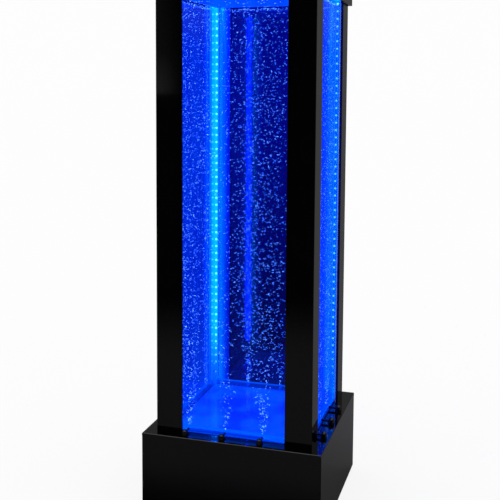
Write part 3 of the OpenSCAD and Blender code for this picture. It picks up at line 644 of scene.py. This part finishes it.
# Which jet it comes from, -1, 0 or 1, and how far it has strayed to the side. A bubble that would
# pass a rail turns back.
pick = streams.chance(2)
jet = 1.0 - pick.below(0.4) - pick.below(0.62)
spread = streams.size("Thread") + streams.size("Fan") * fanned
wander = streams.node("ShaderNodeTexNoise", None, {
    "Vector": streams.vector(jet * 3.0, streams.size("Seed") * 1.7, rise * 9.0),
    "Scale": 1.0, "Detail": 2.0}) - 0.5
u = (streams.size("Middle jet") + jet * streams.size("Jet pitch")
     + spread * (streams.chance(3, -1.0, 1.0) + streams.chance(4, -0.7, 0.7))
     + wander * fanned * 0.07)
half_width = streams.size("Half width")
u = abs(u + half_width)
u = 2.0 * half_width - abs(2.0 * half_width - u) - half_width
depth = streams.chance(5, -0.0032, 0.0032) - streams.size("Panel middle")
points = streams.node("GeometryNodePoints", None, {"Count": streams.size("Bubbles")})
placed = streams.node("GeometryNodeSetPosition", None, {
    0: points, "Position": streams.vector(u, depth, rise + streams.size("Foot"))})

# The two kinds of bubble: a small ball, and a flat one that bends down at its ends.
ball = streams.node("GeometryNodeMeshUVSphere", None,
                    {"Segments": 6, "Rings": 4, "Radius": streams.size("Ball radius")})
long_ball = streams.node("GeometryNodeMeshUVSphere", None,
                         {"Segments": 5, "Rings": 8, "Radius": streams.size("Cap radius")})
own_place = streams.node("GeometryNodeInputPosition")
x = streams.node("ShaderNodeSeparateXYZ", None, {"Vector": own_place})
along = x.out("Z") * 2.0
cap_ball = streams.node("GeometryNodeSetPosition", None, {0: long_ball, "Position": streams.vector(
    along, x.out("Y") * 0.3, x * 0.3 - along * along * 180.0)})
kinds = streams.node("GeometryNodeJoinGeometry", None, {0: [
    streams.node("GeometryNodeGeometryToInstance", None, {0: ball}),
    streams.node("GeometryNodeGeometryToInstance", None, {0: cap_ball})]})
flat = streams.chance(6).below(rise.ramp(0.1, 0.5, 0.1, 0.3))
swarm = streams.node("GeometryNodeInstanceOnPoints", None, {
    "Points": placed, "Instance": kinds, "Pick Instance": True, "Instance Index": flat,
    "Rotation": streams.vector(0.0, streams.chance(7, -1.1, 1.1), streams.chance(8, -0.3, 0.3)),
    "Scale": streams.vector(streams.chance(9, 0.7, 1.3), 1.0, streams.chance(10, 0.8, 1.2))})
streams.done(swarm, bubble_finish)

for quarter, side in enumerate(SIDES):
    bubbles = streams.bake(Seed=3 + quarter)
    bubbles.transform(Matrix.Rotation(quarter * math.pi / 2, 4, "Z"))
    piece("bubbles_" + side, bubbles, bubble_finish, "root")


# ---- studio --------------------------------------------------------------------------------------
# A white floor and a white room, with soft light from above, a little from the front and the left.
# What is polished mirrors a grey room at the sides and behind, and a dark one in front.

def room(tree, direction):
    """How bright the room is in the mirror of polished black, by direction from the lamp."""
    x = tree.node("ShaderNodeSeparateXYZ", None, {"Vector": direction})
    y, z = x.out("Y"), x.out("Z")
    beside = y.ramp(-0.9, -0.3, 0.0, 0.135)
    front_left = (-x).ramp(0.352, 0.385, 0.0, 0.25) * z.ramp(-0.2, -0.1) * z.ramp(0.0, 0.05, 1.0, 0.3)
    above = z.ramp(0.5, 0.8, 0.0, 0.9)
    return beside + front_left * y.ramp(-0.9, -0.3, 1.0, 0.0) + above


white = 0.985
studio_floor = Finish("studio_floor")
ray = studio_floor.node("ShaderNodeLightPath")
x, y, z = studio_floor.axes()
distance = (x * x + y * y) ** 0.5
in_front = (-y).ramp(0.2, 0.5) * distance.ramp(1.2, 2.2, 0.13, 0.0)
beside = (y / distance).ramp(-0.7, -0.1, 0.0, 0.125) * distance.ramp(0.2, 0.55, 0.8, 1.05)
floor_colour = studio_floor.mix(ray.out("Is Glossy Ray"), (white, white, white, 1), in_front + beside)
shaded = studio_floor.node("ShaderNodeBsdfDiffuse", None, {"Color": floor_colour, "Roughness": 0.0})
unshaded = studio_floor.node("ShaderNodeEmission", None,
                             {"Color": (white, white, white, 1), "Strength": 1.0})
bpy.ops.mesh.primitive_plane_add(size=400)
ground = bpy.context.object
ground.name = "studio_ground"
ground.data.materials.append(studio_floor.done(studio_floor.node(
    "ShaderNodeMixShader", None, {0: ray.out("Is Camera Ray") * 0.85, 1: shaded, 2: unshaded})))

world = bpy.data.worlds.new("studio")
bpy.context.scene.world = world
world.use_nodes = True
air = Tree(world.node_tree.nodes, world.node_tree.links)
air.nodes.clear()
seen = air.node("ShaderNodeLightPath")
to_camera, to_gloss = seen.out("Is Camera Ray"), seen.out("Is Glossy Ray")
level = (to_camera * white
         + to_gloss * room(air, air.node("ShaderNodeTexCoord").out("Generated"))
         + (1.0 - to_camera - to_gloss).greater(0.0) * 0.9)
backdrop = air.node("ShaderNodeBackground", None, {"Color": (1, 1, 1, 1), "Strength": level})
air.node("ShaderNodeOutputWorld", None, {"Surface": backdrop})

lamp = bpy.data.objects.new("key_light", bpy.data.lights.new("key_light", "SUN"))
lamp.data.angle, lamp.data.energy = math.radians(60), 0.32
lamp.rotation_euler = Vector((0.25, 0.35, -1)).to_track_quat("-Z", "Y").to_euler()
bpy.context.scene.collection.objects.link(lamp)

# The camera stands in front and to the right, turned to the left and slightly down.
camera_place = (0.5165, -1.8106, 0.8867)
yaw, pitch, roll = (math.radians(a) for a in (-17.3556, -5.0934, 0.2392))
ahead = Vector((math.sin(yaw) * math.cos(pitch), math.cos(yaw) * math.cos(pitch), math.sin(pitch)))
level_right = Vector((math.cos(yaw), -math.sin(yaw), 0))
level_up = level_right.cross(ahead)
rolled_right = math.cos(roll) * level_right + math.sin(roll) * level_up
rolled_up = -math.sin(roll) * level_right + math.cos(roll) * level_up
camera = bpy.data.objects.new("camera", bpy.data.cameras.new("camera"))
camera.matrix_world = (Matrix.Translation(camera_place)
                       @ Matrix((rolled_right, rolled_up, -ahead)).transposed().to_4x4())
camera.data.lens, camera.data.sensor_width = 62.99, 36
camera.data.shift_x, camera.data.shift_y = 0.0311, -0.1624
bpy.context.scene.collection.objects.link(camera)
bpy.context.scene.camera = camera

# Light passes many clear layers here, and none of its paths may end early in them.
bpy.context.scene.cycles.transparent_max_bounces = 48
bpy.context.scene.cycles.min_transparent_bounces = 24
bpy.context.scene.view_settings.view_transform = "Standard"

bpy.context.view_layer.update()
